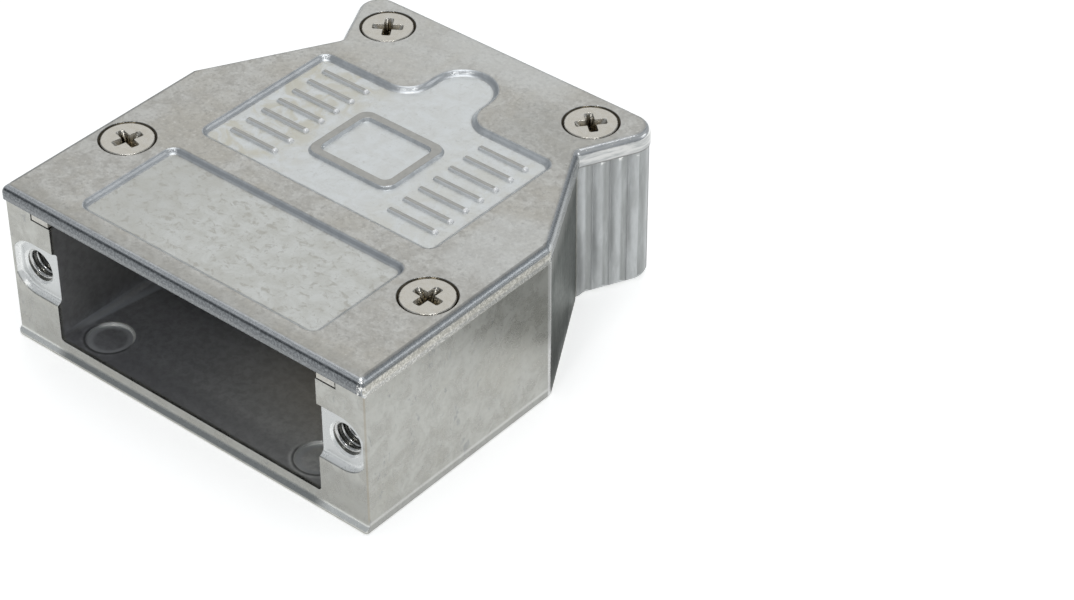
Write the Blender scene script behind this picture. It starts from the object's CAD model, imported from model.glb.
import math

import bpy
from mathutils import Matrix, Vector


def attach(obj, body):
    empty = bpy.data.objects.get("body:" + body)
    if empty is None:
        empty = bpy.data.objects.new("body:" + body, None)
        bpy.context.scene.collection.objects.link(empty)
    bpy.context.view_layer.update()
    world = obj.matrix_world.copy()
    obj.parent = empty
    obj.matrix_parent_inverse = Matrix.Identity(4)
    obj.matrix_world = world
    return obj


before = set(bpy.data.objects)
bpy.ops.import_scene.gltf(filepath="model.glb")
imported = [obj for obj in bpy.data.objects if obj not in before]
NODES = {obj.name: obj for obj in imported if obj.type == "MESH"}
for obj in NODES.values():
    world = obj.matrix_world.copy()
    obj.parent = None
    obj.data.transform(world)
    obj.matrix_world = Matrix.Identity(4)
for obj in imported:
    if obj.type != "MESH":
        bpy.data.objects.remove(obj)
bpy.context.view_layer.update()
MM = 0.001


# ---- small helpers for node trees ---------------------------------------------
class Tree:
    """Builds one material's nodes. Sockets are passed round, and numbers are set directly."""

    def __init__(self, name):
        self.mat = bpy.data.materials.new(name)
        self.mat.use_nodes = True
        self.nt = self.mat.node_tree
        self.nt.nodes.clear()
        self.out = self.nt.nodes.new("ShaderNodeOutputMaterial")
        self.bsdf = self.nt.nodes.new("ShaderNodeBsdfPrincipled")
        self.nt.links.new(self.bsdf.outputs[0], self.out.inputs[0])
        coord = self.nt.nodes.new("ShaderNodeTexCoord")
        self.normal = coord.outputs["Normal"]
        self.p = self.vec("MULTIPLY", coord.outputs["Object"], (1000.0, 1000.0, 1000.0))
        split = self.nt.nodes.new("ShaderNodeSeparateXYZ")
        self.nt.links.new(self.p, split.inputs[0])
        self.x, self.y, self.z = split.outputs
        nsplit = self.nt.nodes.new("ShaderNodeSeparateXYZ")
        self.nt.links.new(self.normal, nsplit.inputs[0])
        self.nx, self.ny, self.nz = nsplit.outputs

    def put(self, socket, value):
        if isinstance(value, bpy.types.NodeSocket):
            self.nt.links.new(value, socket)
        else:
            socket.default_value = value

    def vec(self, op, a, b):
        n = self.nt.nodes.new("ShaderNodeVectorMath")
        n.operation = op
        self.put(n.inputs[0], a)
        self.put(n.inputs[1], b)
        return n.outputs["Value"] if op in ("DOT_PRODUCT", "LENGTH") else n.outputs[0]

    def m(self, op, a, b=0.0, clamp=False):
        n = self.nt.nodes.new("ShaderNodeMath")
        n.operation = op
        n.use_clamp = clamp
        self.put(n.inputs[0], a)
        if op not in ("ABSOLUTE", "SQRT"):
            self.put(n.inputs[1], b)
        return n.outputs[0]

    def ramp(self, v, lo, hi, out_lo=0.0, out_hi=1.0, smooth=True):
        n = self.nt.nodes.new("ShaderNodeMapRange")
        n.interpolation_type = "SMOOTHSTEP" if smooth else "LINEAR"
        n.clamp = True
        self.put(n.inputs["Value"], v)
        n.inputs["From Min"].default_value = lo
        n.inputs["From Max"].default_value = hi
        n.inputs["To Min"].default_value = out_lo
        n.inputs["To Max"].default_value = out_hi
        return n.outputs["Result"]

    def noise(self, scale, detail=4.0, rough=0.55, distort=0.0, at=None, stretch=None, colour=False, shift=(0, 0, 0)):
        v = at if at is not None else self.p
        if stretch is not None:
            v = self.vec("MULTIPLY", v, stretch)
        if any(shift):
            v = self.vec("ADD", v, shift)
        n = self.nt.nodes.new("ShaderNodeTexNoise")
        self.put(n.inputs["Vector"], v)
        n.inputs["Scale"].default_value = scale
        n.inputs["Detail"].default_value = detail
        n.inputs["Roughness"].default_value = rough
        n.inputs["Distortion"].default_value = distort
        return n.outputs["Color"] if colour else n.outputs["Fac"]

    def voronoi(self, scale, feature="F1", shift=(0, 0, 0)):
        v = self.vec("ADD", self.p, shift) if any(shift) else self.p
        n = self.nt.nodes.new("ShaderNodeTexVoronoi")
        n.feature = feature
        self.put(n.inputs["Vector"], v)
        n.inputs["Scale"].default_value = scale
        return n

    def mix(self, t, a, b, mode="MIX"):
        n = self.nt.nodes.new("ShaderNodeMix")
        n.data_type = "RGBA"
        n.blend_type = mode
        n.clamp_factor = True
        self.put(n.inputs[0], t)
        self.put(n.inputs[6], a if not isinstance(a, tuple) else (*a, 1.0))
        self.put(n.inputs[7], b if not isinstance(b, tuple) else (*b, 1.0))
        return n.outputs[2]

    def fmix(self, t, a, b):
        n = self.nt.nodes.new("ShaderNodeMix")
        n.data_type = "FLOAT"
        n.clamp_factor = True
        self.put(n.inputs[0], t)
        self.put(n.inputs[2], a)
        self.put(n.inputs[3], b)
        return n.outputs[0]

    def bevel(self, radius_mm, samples=6):
        n = self.nt.nodes.new("ShaderNodeBevel")
        n.samples = samples
        n.inputs["Radius"].default_value = radius_mm * MM
        geo = self.nt.nodes.new("ShaderNodeNewGeometry")
        same = self.vec("DOT_PRODUCT", n.outputs[0], geo.outputs["Normal"])
        edge = self.ramp(same, 0.995, 0.75)
        return n.outputs[0], edge

    def bump(self, height, dist_mm, strength=1.0, normal=None):
        n = self.nt.nodes.new("ShaderNodeBump")
        n.inputs["Strength"].default_value = strength
        n.inputs["Distance"].default_value = dist_mm * MM
        self.put(n.inputs["Height"], height)
        if normal is not None:
            self.put(n.inputs["Normal"], normal)
        return n.outputs[0]

    def set(self, name, value):
        self.put(self.bsdf.inputs[name], value)


# ---- cast zinc ------------------------------------------------------------------
def clouds(t, seed):
    """Grey and beige clouds of a raw die casting, the same on both castings."""
    s = (seed * 13.7, seed * 7.1, seed * 3.3)
    big = t.noise(0.16, 4, 0.62, 0.6, shift=s)
    mid = t.noise(0.62, 6, 0.66, 0.5, shift=s)
    fine = t.noise(3.2, 5, 0.7, 0.2, shift=s)
    grain = t.noise(14.0, 2, 0.6, shift=s)
    return big, mid, fine, grain


def screw_distance(t):
    """Distance in mm from the nearest cover screw's axis, seen from above."""
    ax = t.m("ABSOLUTE", t.x)
    out = None
    for sx, sy in ((16.12, -9.18), (11.08, 16.48)):
        dx, dy = t.m("SUBTRACT", ax, sx), t.m("SUBTRACT", t.y, sy)
        d = t.m("SQRT", t.m("ADD", t.m("MULTIPLY", dx, dx), t.m("MULTIPLY", dy, dy)))
        out = d if out is None else t.m("MINIMUM", out, d)
    return out


def cast_cover():
    t = Tree("cast_zinc_cover")
    big, mid, fine, grain = clouds(t, 0.0)
    small = t.noise(1.7, 6, 0.72, 0.4, shift=(2.0, 6.0, 1.0))
    up = t.ramp(t.nz, 0.9, 0.985)
    low = t.ramp(t.z, 14.72, 14.62)
    sunk = t.m("MULTIPLY", low, up)
    label = t.m("MULTIPLY", sunk, t.ramp(t.y, -6.6, -7.0))
    field = t.m("MULTIPLY", sunk, t.ramp(t.y, -6.0, -5.6))
    slope = t.m("MULTIPLY", t.ramp(t.nz, 0.97, 0.85), t.ramp(t.z, 13.36, 13.5))
    ax = t.m("ABSOLUTE", t.x)
    dip = t.m("MULTIPLY", t.ramp(ax, 13.0, 12.85), t.m("MULTIPLY", t.ramp(t.y, -18.6, -18.4), t.ramp(t.y, 17.5, 17.2)))
    dip = t.m("MULTIPLY", dip, slope)
    # base colour
    col = t.mix(t.ramp(mid, 0.34, 0.66), (0.44, 0.43, 0.405), (0.62, 0.615, 0.59))
    col = t.mix(t.m("MULTIPLY", t.ramp(big, 0.42, 0.66), 0.5), col, (0.50, 0.475, 0.42))
    col = t.mix(t.m("MULTIPLY", t.ramp(small, 0.50, 0.66), 0.55), col, (0.37, 0.36, 0.335))
    col = t.mix(t.m("MULTIPLY", t.ramp(fine, 0.54, 0.72), 0.5), col, (0.34, 0.33, 0.31))
    col = t.mix(t.m("MULTIPLY", t.ramp(fine, 0.44, 0.30), 0.5), col, (0.72, 0.72, 0.70))
    lab = t.mix(t.ramp(mid, 0.3, 0.7), (0.58, 0.58, 0.548), (0.735, 0.742, 0.722))
    fleck = t.noise(1.15, 5, 0.66, 0.6, stretch=(1.0, 1.3, 1.0), shift=(4.2, 1.1, 0.3))
    lab = t.mix(t.m("MULTIPLY", t.ramp(fleck, 0.52, 0.66), 0.5), lab, (0.40, 0.38, 0.33))
    lab = t.mix(t.m("MULTIPLY", t.ramp(fine, 0.56, 0.72), 0.45), lab, (0.42, 0.41, 0.385))
    lab = t.mix(t.ramp(t.x, -3.0, -10.0, 0.0, 0.3), lab, (0.50, 0.495, 0.46))
    # a few wide lighter and darker areas of the top
    wide = t.m("MULTIPLY", t.ramp(t.y, 10.5, 12.5), t.ramp(t.x, 3.0, -4.0, 0.0, 0.3))
    wide = t.m("MAXIMUM", wide, t.m("MULTIPLY", t.ramp(t.y, 15.0, 18.0), t.ramp(ax, 9.0, 5.0, 0.0, 0.5)))
    spot = t.m("MULTIPLY", t.ramp(t.x, 13.0, 14.0), t.ramp(t.y, -6.0, -4.0, 0.0, 0.35))
    wide = t.m("MAXIMUM", wide, t.m("MULTIPLY", spot, t.ramp(t.y, 4.0, 2.0)))
    col = t.mix(wide, col, (0.68, 0.69, 0.68))
    dusk = t.m("MULTIPLY", t.ramp(t.y, 9.0, 12.0), t.ramp(t.x, 4.0, 7.0, 0.0, 0.3))
    col = t.mix(t.m("MULTIPLY", dusk, t.ramp(t.y, 17.0, 15.0)), col, (0.36, 0.36, 0.34))
    brow = t.m("MULTIPLY", t.ramp(t.y, -18.2, -18.8), up)
    col = t.mix(t.m("MULTIPLY", brow, 0.3), col, (0.33, 0.325, 0.30))
    col = t.mix(label, col, lab)
    fld = t.mix(t.ramp(mid, 0.3, 0.7), (0.68, 0.69, 0.68), (0.80, 0.82, 0.825))
    near_bars = t.ramp(t.m("ABSOLUTE", t.x), 2.5, 7.0)
    stain = t.noise(0.5, 5, 0.6, 0.8, shift=(9.0, 2.0, 0.0))
    left = t.ramp(t.x, 6.0, -8.0, 0.35, 1.0)
    fld = t.mix(t.m("MULTIPLY", t.m("MULTIPLY", t.m("MULTIPLY", near_bars, left), t.ramp(stain, 0.4, 0.62)), 0.6), fld, (0.60, 0.56, 0.44))
    fld = t.mix(t.m("MULTIPLY", t.ramp(small, 0.54, 0.68), 0.3), fld, (0.50, 0.49, 0.46))
    fld = t.mix(t.m("MULTIPLY", t.ramp(fine, 0.58, 0.74), 0.4), fld, (0.45, 0.45, 0.44))
    col = t.mix(field, col, fld)
    # tops of the bars and of the frame
    tops = t.m("MULTIPLY", t.m("MULTIPLY", t.ramp(t.nz, 0.6, 0.8), t.ramp(t.z, 14.63, 14.7)), t.ramp(t.z, 14.9, 14.86))
    tops = t.m("MULTIPLY", tops, t.m("MULTIPLY", t.ramp(t.m("ABSOLUTE", t.x), 11.6, 11.4), t.ramp(t.y, -4.2, -3.9)))
    tops = t.m("MULTIPLY", tops, t.ramp(t.y, 9.7, 9.4))
    col = t.mix(t.m("MULTIPLY", tops, 0.85), col, (0.42, 0.415, 0.395))
    # slopes of the fields and the rounded rim
    grit = t.noise(5.5, 4, 0.7, 0.3, shift=(1.0, 5.0, 2.0))
    col = t.mix(t.m("MULTIPLY", slope, 0.7), col, (0.48, 0.51, 0.54))
    col = t.mix(t.m("MULTIPLY", slope, t.ramp(grit, 0.5, 0.68, 0.0, 0.4)), col, (0.72, 0.74, 0.76))
    worn = t.ramp(mid, 0.35, 0.6, 0.55, 0.95)
    col = t.mix(t.m("MULTIPLY", dip, worn), col, (0.76, 0.78, 0.79))
    fall = t.m("MULTIPLY", t.m("MULTIPLY", dip, t.ramp(t.ny, -0.15, -0.4)), t.m("MULTIPLY", t.ramp(t.z, 14.62, 14.73), t.ramp(t.z, 14.94, 14.84)))
    fall = t.m("MULTIPLY", fall, t.m("MAXIMUM", t.ramp(t.y, -6.2, -6.4, 0.0, 0.6), t.m("MULTIPLY", t.ramp(t.y, 9.3, 9.6, 0.0, 0.25), t.ramp(t.x, 4.0, 0.0))))
    col = t.mix(fall, col, (0.27, 0.29, 0.315))
    ribs = t.m("MULTIPLY", t.m("MULTIPLY", dip, t.ramp(t.z, 14.8, 14.77)), t.m("MULTIPLY", t.ramp(ax, 5.5, 5.8), t.ramp(ax, 11.5, 11.3)))
    ribs = t.m("MULTIPLY", ribs, t.m("MULTIPLY", t.ramp(t.y, -4.1, -3.9), t.ramp(t.y, 9.8, 9.6)))
    col = t.mix(t.m("MULTIPLY", ribs, 0.47), col, (0.98, 0.98, 0.97))
    # the bars' right-hand ends are rubbed bright
    left_ends = t.m("MULTIPLY", t.ramp(t.x, -6.42, -6.25), t.ramp(t.x, -5.6, -5.8))
    ends = t.m("MULTIPLY", t.m("MAXIMUM", left_ends, t.ramp(t.x, 10.68, 10.85)), t.m("MULTIPLY", t.ramp(t.z, 14.56, 14.6), t.ramp(t.z, 14.8, 14.77)))
    ends = t.m("MULTIPLY", ends, t.m("MULTIPLY", t.ramp(ax, 11.5, 11.3), t.m("MULTIPLY", t.ramp(t.y, -4.1, -3.9), t.ramp(t.y, 9.8, 9.6))))
    col = t.mix(ends, col, (0.98, 0.98, 0.98))
    # front rim: dark and bluish; side rims: a beige, sparkling band under the rounding
    rim = t.m("MULTIPLY", t.ramp(t.nz, 0.97, 0.9), t.ramp(t.y, -19.3, -19.5))
    front = t.m("MULTIPLY", rim, t.ramp(t.ny, -0.2, -0.5))
    front = t.m("MULTIPLY", front, t.ramp(t.z, 13.67, 13.71, 0.0, 0.95))
    col = t.mix(front, col, t.mix(t.ramp(grit, 0.45, 0.7), (0.30, 0.315, 0.33), (0.46, 0.48, 0.50)))
    upright = t.m("MULTIPLY", front, t.ramp(t.ny, -0.6, -0.9))
    col = t.mix(upright, col, t.mix(t.ramp(grit, 0.42, 0.7), (0.115, 0.122, 0.13), (0.27, 0.285, 0.295)))
    lower = t.m("MULTIPLY", t.ramp(t.z, 14.12, 14.0), t.ramp(t.z, 13.76, 13.84, 0.3, 1.0))
    col = t.mix(t.m("MULTIPLY", t.m("MULTIPLY", upright, lower), 0.25), col, (0.40, 0.41, 0.41))
    throat = t.m("MULTIPLY", upright, t.m("MULTIPLY", t.ramp(t.z, 14.56, 14.68), t.ramp(t.z, 15.0, 14.94)))
    col = t.mix(t.m("MULTIPLY", throat, 0.4), col, (0.05, 0.055, 0.06))
    # the rounding starts light along the front and dark along the sides
    start = t.m("MULTIPLY", t.ramp(t.nz, 0.999, 0.985), t.ramp(t.nz, 0.82, 0.93))
    lift = t.m("MULTIPLY", t.m("MULTIPLY", t.ramp(t.nz, 0.99, 0.93), t.ramp(t.nz, 0.6, 0.8)), t.ramp(t.y, -19.3, -19.45))
    col = t.mix(t.m("MULTIPLY", lift, t.ramp(grit, 0.3, 0.6, 0.65, 0.95)), col, (0.86, 0.87, 0.88))
    sides = t.m("MULTIPLY", t.ramp(ax, 18.5, 18.7), t.ramp(t.y, -19.3, -19.0))
    col = t.mix(t.m("MULTIPLY", t.m("MULTIPLY", start, sides), 0.65), col, (0.27, 0.27, 0.26))
    seam = t.m("MULTIPLY", t.ramp(t.z, 14.44, 14.5), t.ramp(t.z, 14.64, 14.56))
    seam = t.m("MAXIMUM", t.m("MULTIPLY", seam, 0.35), t.ramp(t.z, 13.52, 13.42, 0.0, 0.6))
    col = t.mix(t.m("MULTIPLY", seam, t.m("MULTIPLY", slope, t.ramp(ax, 18.7, 18.9))), col, (0.22, 0.22, 0.21))
    across = t.m("ADD", t.m("MULTIPLY", ax, 0.868), t.m("MULTIPLY", t.y, 0.496))
    diag = t.m("MULTIPLY", t.m("MULTIPLY", slope, t.ramp(across, 16.6, 16.8)), t.m("MULTIPLY", t.ramp(t.y, 1.9, 2.3), t.ramp(t.y, 12.6, 12.2)))
    col = t.mix(t.m("MULTIPLY", t.m("MULTIPLY", diag, t.ramp(t.nz, 0.8, 0.65)), 0.6), col, (0.20, 0.21, 0.215))
    col = t.mix(t.m("MULTIPLY", t.m("MULTIPLY", diag, t.ramp(t.nz, 0.78, 0.86)), 0.6), col, (0.80, 0.81, 0.82))
    # the rims of the rear block are polished
    heel = t.m("MULTIPLY", t.m("MULTIPLY", t.ramp(ax, 12.2, 12.6), t.ramp(t.y, 12.3, 12.7)), slope)
    shine = t.noise(0.9, 3, 0.6, 0.3, stretch=(0.5, 0.5, 3.0), shift=(1.0, 3.0, 2.0))
    col = t.mix(heel, col, t.mix(t.ramp(shine, 0.35, 0.6), (0.41, 0.42, 0.42), (0.60, 0.60, 0.59)))
    col = t.mix(t.m("MULTIPLY", heel, t.ramp(t.nz, 0.25, 0.55)), col, t.mix(t.ramp(shine, 0.35, 0.6), (0.80, 0.81, 0.82), (0.98, 0.98, 0.97)))
    # a dark seam lies below them
    below = t.m("MULTIPLY", t.m("MULTIPLY", t.ramp(ax, 12.2, 12.6), t.ramp(t.y, 12.3, 12.7)), t.ramp(t.nz, 0.6, 0.3))
    col = t.mix(t.m("MULTIPLY", t.m("MULTIPLY", below, t.ramp(t.z, 13.56, 13.45)), 0.75), col, (0.10, 0.10, 0.095))
    wall = t.m("MULTIPLY", t.ramp(t.nz, 0.6, 0.3), t.ramp(t.z, 14.5, 14.38))
    wall = t.m("MULTIPLY", wall, t.ramp(t.m("ABSOLUTE", t.nx), 0.75, 0.9))
    wall = t.m("MULTIPLY", wall, t.m("SUBTRACT", 1.0, heel))
    trim = t.m("MULTIPLY", wall, t.ramp(t.z, 13.75, 13.95, 0.55, 1.0))
    trim = t.m("MULTIPLY", trim, t.ramp(t.y, 2.3, 1.6, 0.22, 1.0))
    col = t.mix(t.m("MULTIPLY", trim, 0.9), col, t.mix(t.ramp(grit, 0.42, 0.62), (0.46, 0.44, 0.38), (0.90, 0.87, 0.78)))
    tip = t.m("MULTIPLY", t.ramp(t.x, 18.7, 18.9), t.ramp(t.y, -19.45, -19.65))
    tip = t.m("MULTIPLY", tip, t.ramp(t.z, 14.98, 14.9))
    tip = t.m("MULTIPLY", tip, t.ramp(grit, 0.5, 0.58))
    col = t.mix(tip, col, (0.97, 0.96, 0.93))
    nrm, edge = t.bevel(0.06)
    col = t.mix(t.m("MULTIPLY", edge, 0.25), col, (0.78, 0.78, 0.77))
    # dark ring left round each screw head
    ring = t.m("MULTIPLY", t.ramp(screw_distance(t), 2.46, 2.38), t.ramp(t.z, 14.995, 14.95))
    col = t.mix(ring, col, (0.10, 0.085, 0.06))
    t.set("Base Color", col)
    soft = t.m("MAXIMUM", t.m("MULTIPLY", trim, 0.75), t.m("MAXIMUM", t.m("MULTIPLY", ribs, 0.28), t.m("MULTIPLY", ends, 0.7)))
    t.set("Metallic", t.m("SUBTRACT", 1.0, soft))
    r = t.ramp(mid, 0.3, 0.7, 0.36, 0.47)
    r = t.m("ADD", r, t.ramp(fine, 0.35, 0.7, -0.04, 0.08))
    r = t.fmix(sunk, r, t.ramp(mid, 0.3, 0.7, 0.44, 0.54))
    r = t.fmix(slope, r, t.ramp(grit, 0.35, 0.65, 0.2, 0.3))
    r = t.fmix(dip, r, 0.34)
    r = t.fmix(heel, r, 0.16)
    r = t.fmix(trim, r, 0.26)
    r = t.fmix(tip, r, 0.2)
    t.set("Roughness", r)
    h = t.m("ADD", t.m("MULTIPLY", fine, 0.8), t.m("MULTIPLY", grain, 0.35))
    h = t.m("ADD", h, t.m("MULTIPLY", mid, 0.9))
    b = t.bump(h, 0.024, 0.6, nrm)
    b = t.bump(t.m("MULTIPLY", grit, t.m("ADD", t.m("MULTIPLY", slope, 0.12), trim)), 0.07, 0.8, b)
    t.set("Normal", b)
    return t.mat


def cast_body():
    t = Tree("cast_zinc_body")
    big, mid, fine, grain = clouds(t, 1.0)
    small = t.noise(1.7, 6, 0.72, 0.4, shift=(5.0, 3.0, 7.0))
    ax = t.m("ABSOLUTE", t.x)
    # the inside, seen through the mouth
    inner = t.m("MULTIPLY", t.ramp(ax, 17.9, 17.75), t.ramp(t.z, 0.9, 1.2))
    inner = t.m("MULTIPLY", inner, t.ramp(t.y, -19.7, -19.3))
    inner = t.m("MULTIPLY", inner, t.ramp(t.y, 18.2, 18.0))
    across = t.m("ADD", t.m("MULTIPLY", ax, 0.868), t.m("MULTIPLY", t.y, 0.496))
    inner = t.m("MULTIPLY", inner, t.m("MAXIMUM", t.ramp(across, 17.0, 16.7), t.ramp(ax, 11.4, 11.2)))
    lug = t.m("MULTIPLY", t.ramp(ax, 14.32, 14.36), t.ramp(t.y, -6.0, -6.6))
    inner = t.m("MULTIPLY", inner, t.m("SUBTRACT", 1.0, lug))
    col = t.mix(t.ramp(mid, 0.34, 0.66), (0.37, 0.368, 0.343), (0.475, 0.477, 0.45))
    col = t.mix(t.m("MULTIPLY", t.ramp(big, 0.42, 0.66), 0.35), col, (0.40, 0.39, 0.345))
    col = t.mix(t.m("MULTIPLY", t.ramp(small, 0.52, 0.68), 0.35), col, (0.37, 0.368, 0.34))
    col = t.mix(t.m("MULTIPLY", t.ramp(fine, 0.56, 0.74), 0.3), col, (0.34, 0.338, 0.32))
    pits = t.noise(1.5, 4, 0.65, 0.7, stretch=(1.0, 1.0, 0.55), shift=(3.0, 8.0, 1.0))
    plain = t.ramp(t.y, -1.0, -6.0)
    col = t.mix(t.m("MULTIPLY", t.m("MULTIPLY", t.ramp(pits, 0.61, 0.69), 0.5), plain), col, (0.25, 0.26, 0.27))
    # inside: darker to the left, browner towards the right-hand rear
    warm = t.m("MULTIPLY", t.ramp(t.x, -4.0, 12.0), t.ramp(t.y, -18.5, -9.0))
    dim = t.mix(t.ramp(small, 0.35, 0.65), (0.275, 0.275, 0.29), (0.37, 0.375, 0.395))
    dim = t.mix(t.ramp(t.x, -10.0, 14.0), dim, t.mix(t.ramp(small, 0.35, 0.65), (0.69, 0.69, 0.675), (0.88, 0.88, 0.86)))
    dim = t.mix(t.m("MULTIPLY", warm, 0.6), dim, (0.66, 0.56, 0.40))
    # lighter band where the side walls meet the floor
    edge_x = t.m("SUBTRACT", 14.27, t.m("MULTIPLY", t.m("ADD", t.y, 17.02), 0.151))
    band = t.m("SUBTRACT", ax, edge_x)
    band = t.m("MULTIPLY", t.ramp(band, -0.35, 0.0), t.ramp(band, 0.9, 0.1, 0.35, 1.0))
    band = t.m("MULTIPLY", band, t.ramp(t.z, 2.35, 2.15))
    band = t.m("MULTIPLY", band, t.ramp(t.y, -6.0, -8.0))
    dim = t.mix(t.m("MULTIPLY", band, 0.7), dim, (0.62, 0.65, 0.69))
    dx = t.m("SUBTRACT", ax, 11.55)
    dy = t.m("SUBTRACT", t.y, -17.05)
    dd = t.m("SQRT", t.m("ADD", t.m("MULTIPLY", dx, dx), t.m("MULTIPLY", dy, dy)))
    annulus = t.m("MULTIPLY", t.ramp(dd, 1.2, 1.6), t.ramp(dd, 2.0, 1.95))
    annulus = t.m("MULTIPLY", annulus, t.ramp(t.z, 1.68, 1.6))
    dim = t.mix(t.m("MULTIPLY", annulus, 0.65), dim, (0.66, 0.68, 0.70))
    back = t.m("MULTIPLY", t.ramp(dy, 0.2, 1.2), t.ramp(dd, 1.8, 1.9))
    back = t.m("MULTIPLY", t.m("MULTIPLY", back, t.ramp(dd, 2.12, 2.02)), t.ramp(t.z, 1.9, 1.7))
    dim = t.mix(back, dim, (0.97, 0.97, 0.94))
    groove = t.m("MULTIPLY", t.ramp(dd, 1.95, 2.05), t.ramp(dd, 2.3, 2.1))
    groove = t.m("MULTIPLY", t.m("MULTIPLY", groove, t.ramp(t.z, 1.9, 1.7)), t.ramp(dy, 0.6, -0.6))
    dim = t.mix(t.m("MULTIPLY", groove, 0.75), dim, (0.07, 0.07, 0.07))
    near = t.m("MULTIPLY", t.ramp(t.y, -16.2, -18.3), t.ramp(t.z, 2.2, 1.8))
    near = t.m("MULTIPLY", near, t.ramp(dd, 2.2, 2.6))
    dim = t.mix(t.m("MULTIPLY", near, 0.5), dim, (0.14, 0.14, 0.15))
    far_left = t.m("MULTIPLY", t.ramp(t.x, -12.2, -13.0), t.ramp(t.z, 2.3, 3.2))
    dim = t.mix(t.m("MULTIPLY", far_left, 0.4), dim, (0.12, 0.115, 0.10))
    col = t.mix(inner, col, dim)
    # pockets round the tapped holes are brighter and smoother
    dx = t.m("SUBTRACT", ax, 16.66)
    dz = t.m("SUBTRACT", t.z, 7.68)
    d = t.m("SQRT", t.m("ADD", t.m("MULTIPLY", dx, dx), t.m("MULTIPLY", dz, dz)))
    half = t.m("MAXIMUM", t.m("ABSOLUTE", dz), t.m("MULTIPLY", dx, 1.1))
    pocket = t.m("MULTIPLY", t.ramp(half, 2.75, 2.6), t.ramp(t.y, -19.78, -19.66))
    pocket = t.m("MULTIPLY", pocket, t.ramp(t.y, -18.9, -19.05))
    pocket = t.m("MULTIPLY", pocket, t.ramp(t.ny, -0.15, -0.3))
    side = t.m("MULTIPLY", pocket, t.ramp(t.ny, -0.97, -0.8))
    col = t.mix(t.m("MULTIPLY", pocket, 0.85), col, (0.58, 0.595, 0.60))
    col = t.mix(t.m("MULTIPLY", side, 0.95), col, (0.92, 0.93, 0.92))
    # a dark line lies on the ledge above the front bead, below the mouth
    ledge = t.m("MULTIPLY", t.ramp(t.ny, -0.45, -0.6), t.ramp(t.y, -19.55, -19.65))
    ledge = t.m("MULTIPLY", ledge, t.m("MULTIPLY", t.ramp(t.z, 0.25, 0.4), t.ramp(t.z, 0.95, 0.7)))
    pale = t.m("MULTIPLY", ledge, t.ramp(ax, 13.5, 15.2))
    ledge = t.m("MULTIPLY", ledge, t.ramp(ax, 15.2, 13.0))
    col = t.mix(t.m("MULTIPLY", ledge, 0.75), col, (0.26, 0.275, 0.28))
    col = t.mix(t.m("MULTIPLY", pale, 0.85), col, (0.80, 0.81, 0.79))
    # lower part of the lugs' fronts is duller
    chin = t.m("MULTIPLY", t.ramp(t.ny, -0.8, -0.95), t.ramp(t.y, -19.6, -19.7))
    chin = t.m("MULTIPLY", chin, t.m("MULTIPLY", t.ramp(t.z, 5.2, 4.2), t.ramp(t.z, 0.8, 1.2)))
    col = t.mix(t.m("MULTIPLY", chin, 0.4), col, (0.28, 0.28, 0.265))
    # foot of the straight sides: a light line over a duller band
    flat = t.m("MULTIPLY", t.ramp(ax, 18.8, 18.95), t.ramp(t.m("ABSOLUTE", t.ny), 0.5, 0.3))
    line = t.m("MULTIPLY", t.ramp(t.z, 0.70, 0.80), t.ramp(t.z, 1.10, 0.94))
    col = t.mix(t.m("MULTIPLY", t.m("MULTIPLY", flat, line), 0.35), col, (0.76, 0.76, 0.76))
    col = t.mix(t.m("MULTIPLY", t.m("MULTIPLY", flat, t.ramp(t.z, 0.72, 0.64)), 0.42), col, (0.28, 0.285, 0.285))
    # light line where the straight side meets the slanted wall
    turn = t.m("MULTIPLY", t.ramp(ax, 19.0, 19.12), t.ramp(across, 17.26, 17.36))
    col = t.mix(t.m("MULTIPLY", turn, 0.6), col, (0.88, 0.88, 0.88))
    # the rear side of each grip rib and the slanted walls carry more oxide
    sx = t.m("DIVIDE", t.x, t.m("MAXIMUM", ax, 0.001))
    nxs = t.m("MULTIPLY", t.nx, sx)
    along = t.m("ADD", t.m("MULTIPLY", nxs, 0.4446), t.m("MULTIPLY", t.ny, 0.8957))
    grip = t.m("MULTIPLY", t.ramp(t.y, 12.75, 12.85), t.ramp(ax, 12.6, 12.7))
    upright = t.ramp(t.m("ABSOLUTE", t.nz), 0.4, 0.2)
    bright = t.noise(1.1, 4, 0.65, 0.2, stretch=(1.0, 1.0, 0.2), shift=(2.0, 4.0, 6.0))
    col = t.mix(t.m("MULTIPLY", grip, 0.85), col, t.mix(t.ramp(bright, 0.35, 0.65), (0.43, 0.445, 0.45), (0.58, 0.60, 0.61)))
    shade = t.m("MULTIPLY", t.m("MULTIPLY", grip, upright), t.ramp(along, -0.08, 0.14))
    shade = t.m("MULTIPLY", shade, t.ramp(t.y, 19.0, 18.0))
    streak = t.noise(1.3, 5, 0.7, 0.2, stretch=(1.0, 1.0, 0.16), shift=(7.0, 2.0, 5.0))
    col = t.mix(t.m("MULTIPLY", shade, t.ramp(streak, 0.35, 0.62, 0.5, 0.9)), col, (0.29, 0.30, 0.295))
    burr = t.m("MULTIPLY", t.m("MULTIPLY", grip, upright), t.m("MULTIPLY", t.ramp(t.z, 12.85, 13.15), t.ramp(t.m("ABSOLUTE", along), 0.2, 0.1)))
    burr = t.m("MULTIPLY", burr, t.ramp(t.noise(0.9, 2, 0.5, shift=(6.0, 1.0, 9.0)), 0.48, 0.56))
    col = t.mix(burr, col, (0.97, 0.97, 0.95))
    slant = t.m("MULTIPLY", t.ramp(along, 0.7, 0.8), t.ramp(nxs, 0.75, 0.8))
    slant = t.m("MULTIPLY", slant, t.ramp(ax, 12.6, 12.8))
    slant = t.m("MULTIPLY", slant, t.ramp(t.z, 13.2, 10.5, 0.6, 1.0))
    slant = t.m("MULTIPLY", slant, t.ramp(t.x, -1.0, 1.0, 0.6, 1.0))
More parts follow.
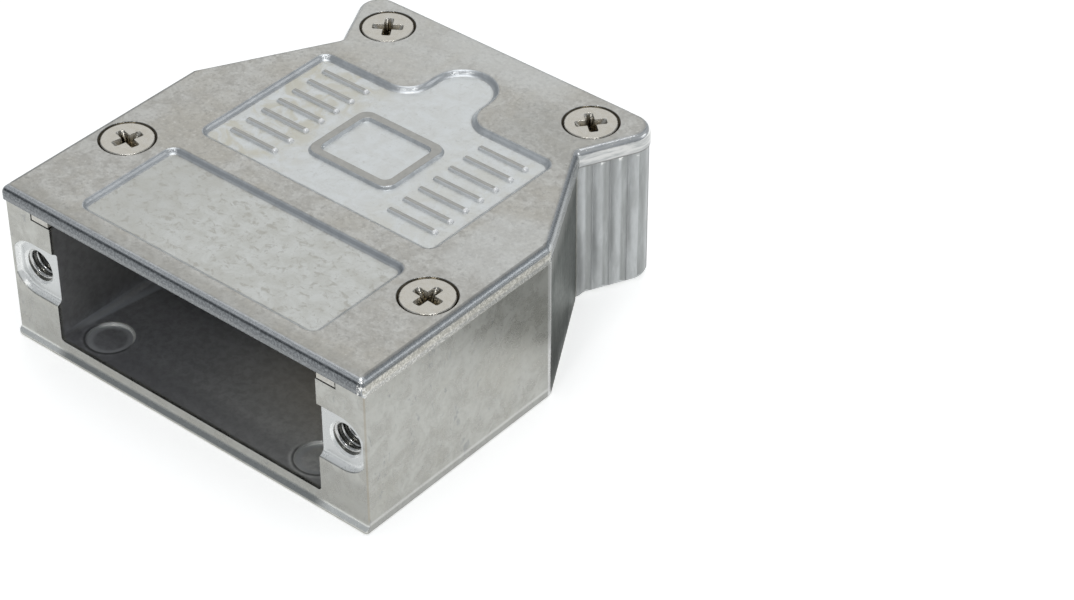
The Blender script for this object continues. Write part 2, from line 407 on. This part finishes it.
    col = t.mix(t.m("MULTIPLY", slant, t.ramp(streak, 0.3, 0.7, 0.8, 0.95)), col, (0.18, 0.187, 0.182))
    nrm, edge = t.bevel(0.07)
    col = t.mix(t.m("MULTIPLY", edge, 0.25), col, (0.80, 0.80, 0.79))
    corner = t.m("MULTIPLY", t.ramp(ax, 19.08, 19.13), t.ramp(t.y, -19.62, -19.7))
    corner = t.m("MULTIPLY", corner, t.ramp(t.z, 1.0, 1.4))
    col = t.mix(t.m("MULTIPLY", corner, 0.4), col, (0.30, 0.25, 0.18))
    t.set("Base Color", col)
    dull = t.m("MAXIMUM", t.m("MULTIPLY", inner, 0.5), t.m("MULTIPLY", side, 0.55))
    dull = t.m("MAXIMUM", dull, t.m("MULTIPLY", grip, 0.4))
    glance = t.mix(t.m("MULTIPLY", t.ramp(t.z, 9.0, 11.5), t.ramp(t.z, 13.4, 12.9)), (0.47, 0.49, 0.48), (0.36, 0.378, 0.37))
    t.set("Specular Tint", t.mix(t.m("MULTIPLY", slant, t.ramp(streak, 0.35, 0.65, 0.75, 1.0)), (1.0, 1.0, 1.0), glance))
    t.set("Metallic", t.m("SUBTRACT", 1.0, dull))
    r = t.ramp(mid, 0.3, 0.7, 0.25, 0.35)
    r = t.m("ADD", r, t.ramp(fine, 0.35, 0.7, -0.03, 0.06))
    r = t.fmix(inner, r, 0.3)
    r = t.fmix(grip, r, 0.4)
    r = t.fmix(slant, r, t.ramp(small, 0.35, 0.65, 0.34, 0.48))
    t.set("Roughness", r)
    h = t.m("ADD", t.m("MULTIPLY", fine, 0.6), t.m("MULTIPLY", grain, 0.3))
    h = t.m("ADD", h, t.m("MULTIPLY", mid, 0.5))
    h = t.m("ADD", h, t.ramp(pits, 0.62, 0.72, 0.0, -0.3))
    t.set("Normal", t.bump(h, 0.02, 0.34, nrm))
    return t.mat


def cut_thread():
    t = Tree("cut_thread")
    fine = t.noise(6.0, 4, 0.6)
    col = t.mix(t.ramp(fine, 0.3, 0.7), (0.44, 0.44, 0.435), (0.64, 0.64, 0.63))
    deep = t.ramp(t.y, -18.2, -15.5)
    col = t.mix(t.m("MULTIPLY", deep, 0.7), col, (0.16, 0.15, 0.14))
    t.set("Base Color", col)
    t.set("Metallic", 1.0)
    t.set("Roughness", t.ramp(fine, 0.3, 0.7, 0.16, 0.3))
    t.set("Normal", t.bump(fine, 0.01, 0.4))
    return t.mat


def nickel():
    t = Tree("nickel_plate")
    fine = t.noise(9.0, 4, 0.6)
    cloud = t.noise(1.6, 4, 0.6, 0.4)
    col = t.mix(t.ramp(cloud, 0.3, 0.7), (0.50, 0.475, 0.425), (0.575, 0.555, 0.515))
    col = t.mix(t.m("MULTIPLY", t.ramp(fine, 0.58, 0.72), 0.35), col, (0.38, 0.35, 0.30))
    deep = t.ramp(t.z, 14.86, 14.3)
    flutes = t.noise(2.6, 4, 0.7, 0.3, stretch=(1.0, 1.0, 0.25), shift=(3.0, 1.0, 2.0))
    col = t.mix(t.m("MULTIPLY", deep, 0.85), col, t.mix(t.ramp(flutes, 0.42, 0.62), (0.13, 0.105, 0.07), (0.62, 0.56, 0.44)))
    nrm, edge = t.bevel(0.05)
    col = t.mix(t.m("MULTIPLY", t.m("MULTIPLY", edge, 0.8), t.ramp(t.z, 14.78, 14.84)), col, (0.97, 0.95, 0.90))
    t.set("Base Color", col)
    t.set("Metallic", 1.0)
    r = t.m("ADD", t.ramp(cloud, 0.3, 0.7, 0.2, 0.3), t.ramp(fine, 0.3, 0.7, -0.02, 0.06))
    t.set("Roughness", t.fmix(deep, r, 0.14))
    t.set("Normal", t.bump(t.m("ADD", fine, cloud), 0.012, 0.4, nrm))
    return t.mat


MAT_COVER, MAT_BODY, MAT_THREAD, MAT_SCREW = cast_cover(), cast_body(), cut_thread(), nickel()
for name, obj in NODES.items():
    mat = MAT_COVER if name == "cover" else MAT_BODY if name == "lower_shell" else MAT_SCREW
    for s in obj.material_slots:
        s.material = mat
    if not obj.material_slots:
        obj.data.materials.append(mat)


# ---- threads of the two lug holes -----------------------------------------------
def thread(name, x):
    """An internal thread: one helical ridge with a flat crest, standing in from the hole's wall."""
    wall, crest, pitch = 1.44, 1.13, 0.6
    y0, y1, z = -19.12, -12.7, 7.68
    per_turn = 40
    turns = (y1 - y0) / pitch
    steps = int(turns * per_turn)
    # ridge section: (offset along the hole, share of the height)
    section = [(-0.27, -0.1), (-0.045, 1.0), (0.045, 1.0), (0.27, -0.1)]
    verts, faces = [], []
    for i in range(steps + 1):
        a = 2 * math.pi * i / per_turn
        along = y0 + pitch * i / per_turn
        fade = min(1.0, i / (per_turn * 0.6), (steps - i) / (per_turn * 0.6))
        for dy, k in section:
            r = wall - (wall - crest) * (k if k < 0 else k * fade)
            yy = min(max(along + dy, y0 - 0.02), y1 + 0.1)
            verts.append(((x + r * math.cos(a)) * MM, yy * MM, (z + r * math.sin(a)) * MM))
    n = len(section)
    for i in range(steps):
        for j in range(n):
            k = (j + 1) % n
            faces.append((i * n + j, i * n + k, (i + 1) * n + k, (i + 1) * n + j))
    faces.append(tuple(range(n)))
    faces.append(tuple(reversed([steps * n + j for j in range(n)])))
    mesh = bpy.data.meshes.new(name)
    mesh.from_pydata(verts, [], faces)
    mesh.update()
    obj = bpy.data.objects.new(name, mesh)
    bpy.context.scene.collection.objects.link(obj)
    for f in mesh.polygons:
        f.use_smooth = True
    mesh.materials.append(MAT_THREAD)
    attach(obj, "root")
    return obj


thread("lug_thread_left", -16.66)
thread("lug_thread_right", 16.66)


# ---- floor ------------------------------------------------------------------------
def floor_material():
    t = Tree("pale_floor")
    n = t.noise(0.02, 3, 0.5)
    t.set("Base Color", t.mix(n, (0.86, 0.86, 0.855), (0.88, 0.88, 0.88)))
    t.set("Roughness", 0.9)
    t.set("Specular IOR Level", 0.1)
    t.set("Emission Color", (1.0, 1.0, 0.99, 1.0))
    t.set("Emission Strength", 0.53)
    clear = t.nt.nodes.new("ShaderNodeBsdfTransparent")
    pick = t.nt.nodes.new("ShaderNodeMixShader")
    geo = t.nt.nodes.new("ShaderNodeNewGeometry")
    t.nt.links.new(geo.outputs["Backfacing"], pick.inputs[0])
    t.nt.links.new(t.bsdf.outputs[0], pick.inputs[1])
    t.nt.links.new(clear.outputs[0], pick.inputs[2])
    t.nt.links.new(pick.outputs[0], t.out.inputs[0])
    return t.mat


def plane(name, size_x, size_y, at, mat):
    hx, hy = size_x / 2, size_y / 2
    mesh = bpy.data.meshes.new(name)
    mesh.from_pydata([(-hx, -hy, 0), (hx, -hy, 0), (hx, hy, 0), (-hx, hy, 0)], [], [(0, 1, 2, 3)])
    obj = bpy.data.objects.new(name, mesh)
    obj.location = at
    mesh.materials.append(mat)
    bpy.context.scene.collection.objects.link(obj)
    return obj


plane("floor", 6.0, 6.0, (0, 0, -0.00002), floor_material())


def dark_card(name, corners, shade):
    """A grey studio card on the table, seen only in the metal's reflections. Corners are in mm."""
    t = Tree(name)
    n = t.noise(0.05, 2, 0.5)
    t.set("Base Color", (0.0, 0.0, 0.0, 1.0))
    t.set("Specular IOR Level", 0.0)
    t.set("Emission Color", t.mix(n, (0.95, 1.0, 1.0), (1.0, 1.0, 0.97)))
    t.set("Emission Strength", shade)
    mesh = bpy.data.meshes.new(name)
    mesh.from_pydata([(x * MM, y * MM, z * MM) for x, y, z in corners], [], [tuple(range(len(corners)))])
    mesh.materials.append(t.mat)
    obj = bpy.data.objects.new(name, mesh)
    bpy.context.scene.collection.objects.link(obj)
    obj.visible_camera = False
    obj.visible_diffuse = False
    obj.visible_shadow = False
    obj.visible_transmission = False
    return obj


dark_card("side_card", [(21.0, 8.4, 0.03), (60.0, -21.0, 0.03), (60.0, -21.0, 13.4), (21.0, 8.4, 13.4)], 0.42)
dark_card("notch_card", [(19.6, 1.9, 0.03), (21.4, 5.2, 0.03), (17.6, 11.8, 0.03), (13.4, 12.4, 0.03)], 0.18)


# ---- light ------------------------------------------------------------------------
def softbox(name, at, size, radiance, colour=(1, 1, 1), look=(0, 0, 0.006)):
    data = bpy.data.lights.new(name, "AREA")
    data.shape = "RECTANGLE"
    data.size, data.size_y = size
    data.energy = radiance * math.pi * size[0] * size[1]
    data.color = colour
    obj = bpy.data.objects.new(name, data)
    obj.location = at
    obj.rotation_mode = "QUATERNION"
    obj.rotation_quaternion = (Vector(look) - Vector(at)).to_track_quat("-Z", "Y")
    bpy.context.scene.collection.objects.link(obj)
    return obj


softbox("rear_left_softbox", (-0.27, 0.32, 0.33), (0.46, 0.40), 0.68, (1.0, 0.99, 0.96))
softbox("rear_right_softbox", (0.42, 0.37, 0.25), (0.24, 0.16), 1.05, (0.97, 0.985, 1.0))
softbox("front_left_softbox", (-0.25, -0.355, 0.245), (0.20, 0.14), 0.34, (0.97, 0.985, 1.0))
softbox("front_lamp", (0.10, -0.306, 0.383), (0.06, 0.06), 15.0, (1.0, 0.99, 0.97))
softbox("right_lamp", (0.298, -0.12, 0.383), (0.06, 0.06), 15.0, (1.0, 0.99, 0.97))
softbox("overhead_softbox", (0.02, 0.0, 0.60), (0.34, 0.34), 2.0, (0.97, 0.985, 1.0))

world = bpy.data.worlds.new("studio")
bpy.context.scene.world = world
world.use_nodes = True
world.node_tree.nodes["Background"].inputs[0].default_value = (0.90, 0.95, 1.0, 1)
world.node_tree.nodes["Background"].inputs[1].default_value = 0.34


# ---- camera -----------------------------------------------------------------------
cam_data = bpy.data.cameras.new("camera")
cam = bpy.data.objects.new("camera", cam_data)
bpy.context.scene.collection.objects.link(cam)
cam_data.sensor_fit = "HORIZONTAL"
cam_data.sensor_width = 36.0
cam_data.lens = 105.65
cam_data.clip_start, cam_data.clip_end = 0.01, 20.0
right = Vector((0.7670, 0.6416, -0.0008)).normalized()
back = Vector((0.5065, -0.6048, 0.6146)).normalized()
upv = back.cross(right).normalized()
right = upv.cross(back).normalized()
cam.matrix_world = Matrix((
    (right.x, upv.x, back.x, 0.14268),
    (right.y, upv.y, back.y, -0.14750),
    (right.z, upv.z, back.z, 0.16052),
    (0, 0, 0, 1),
))
bpy.context.scene.camera = cam

bpy.context.scene.view_settings.view_transform = "Standard"
bpy.context.scene.view_settings.look = "None"
bpy.context.scene.view_settings.exposure = 0.0
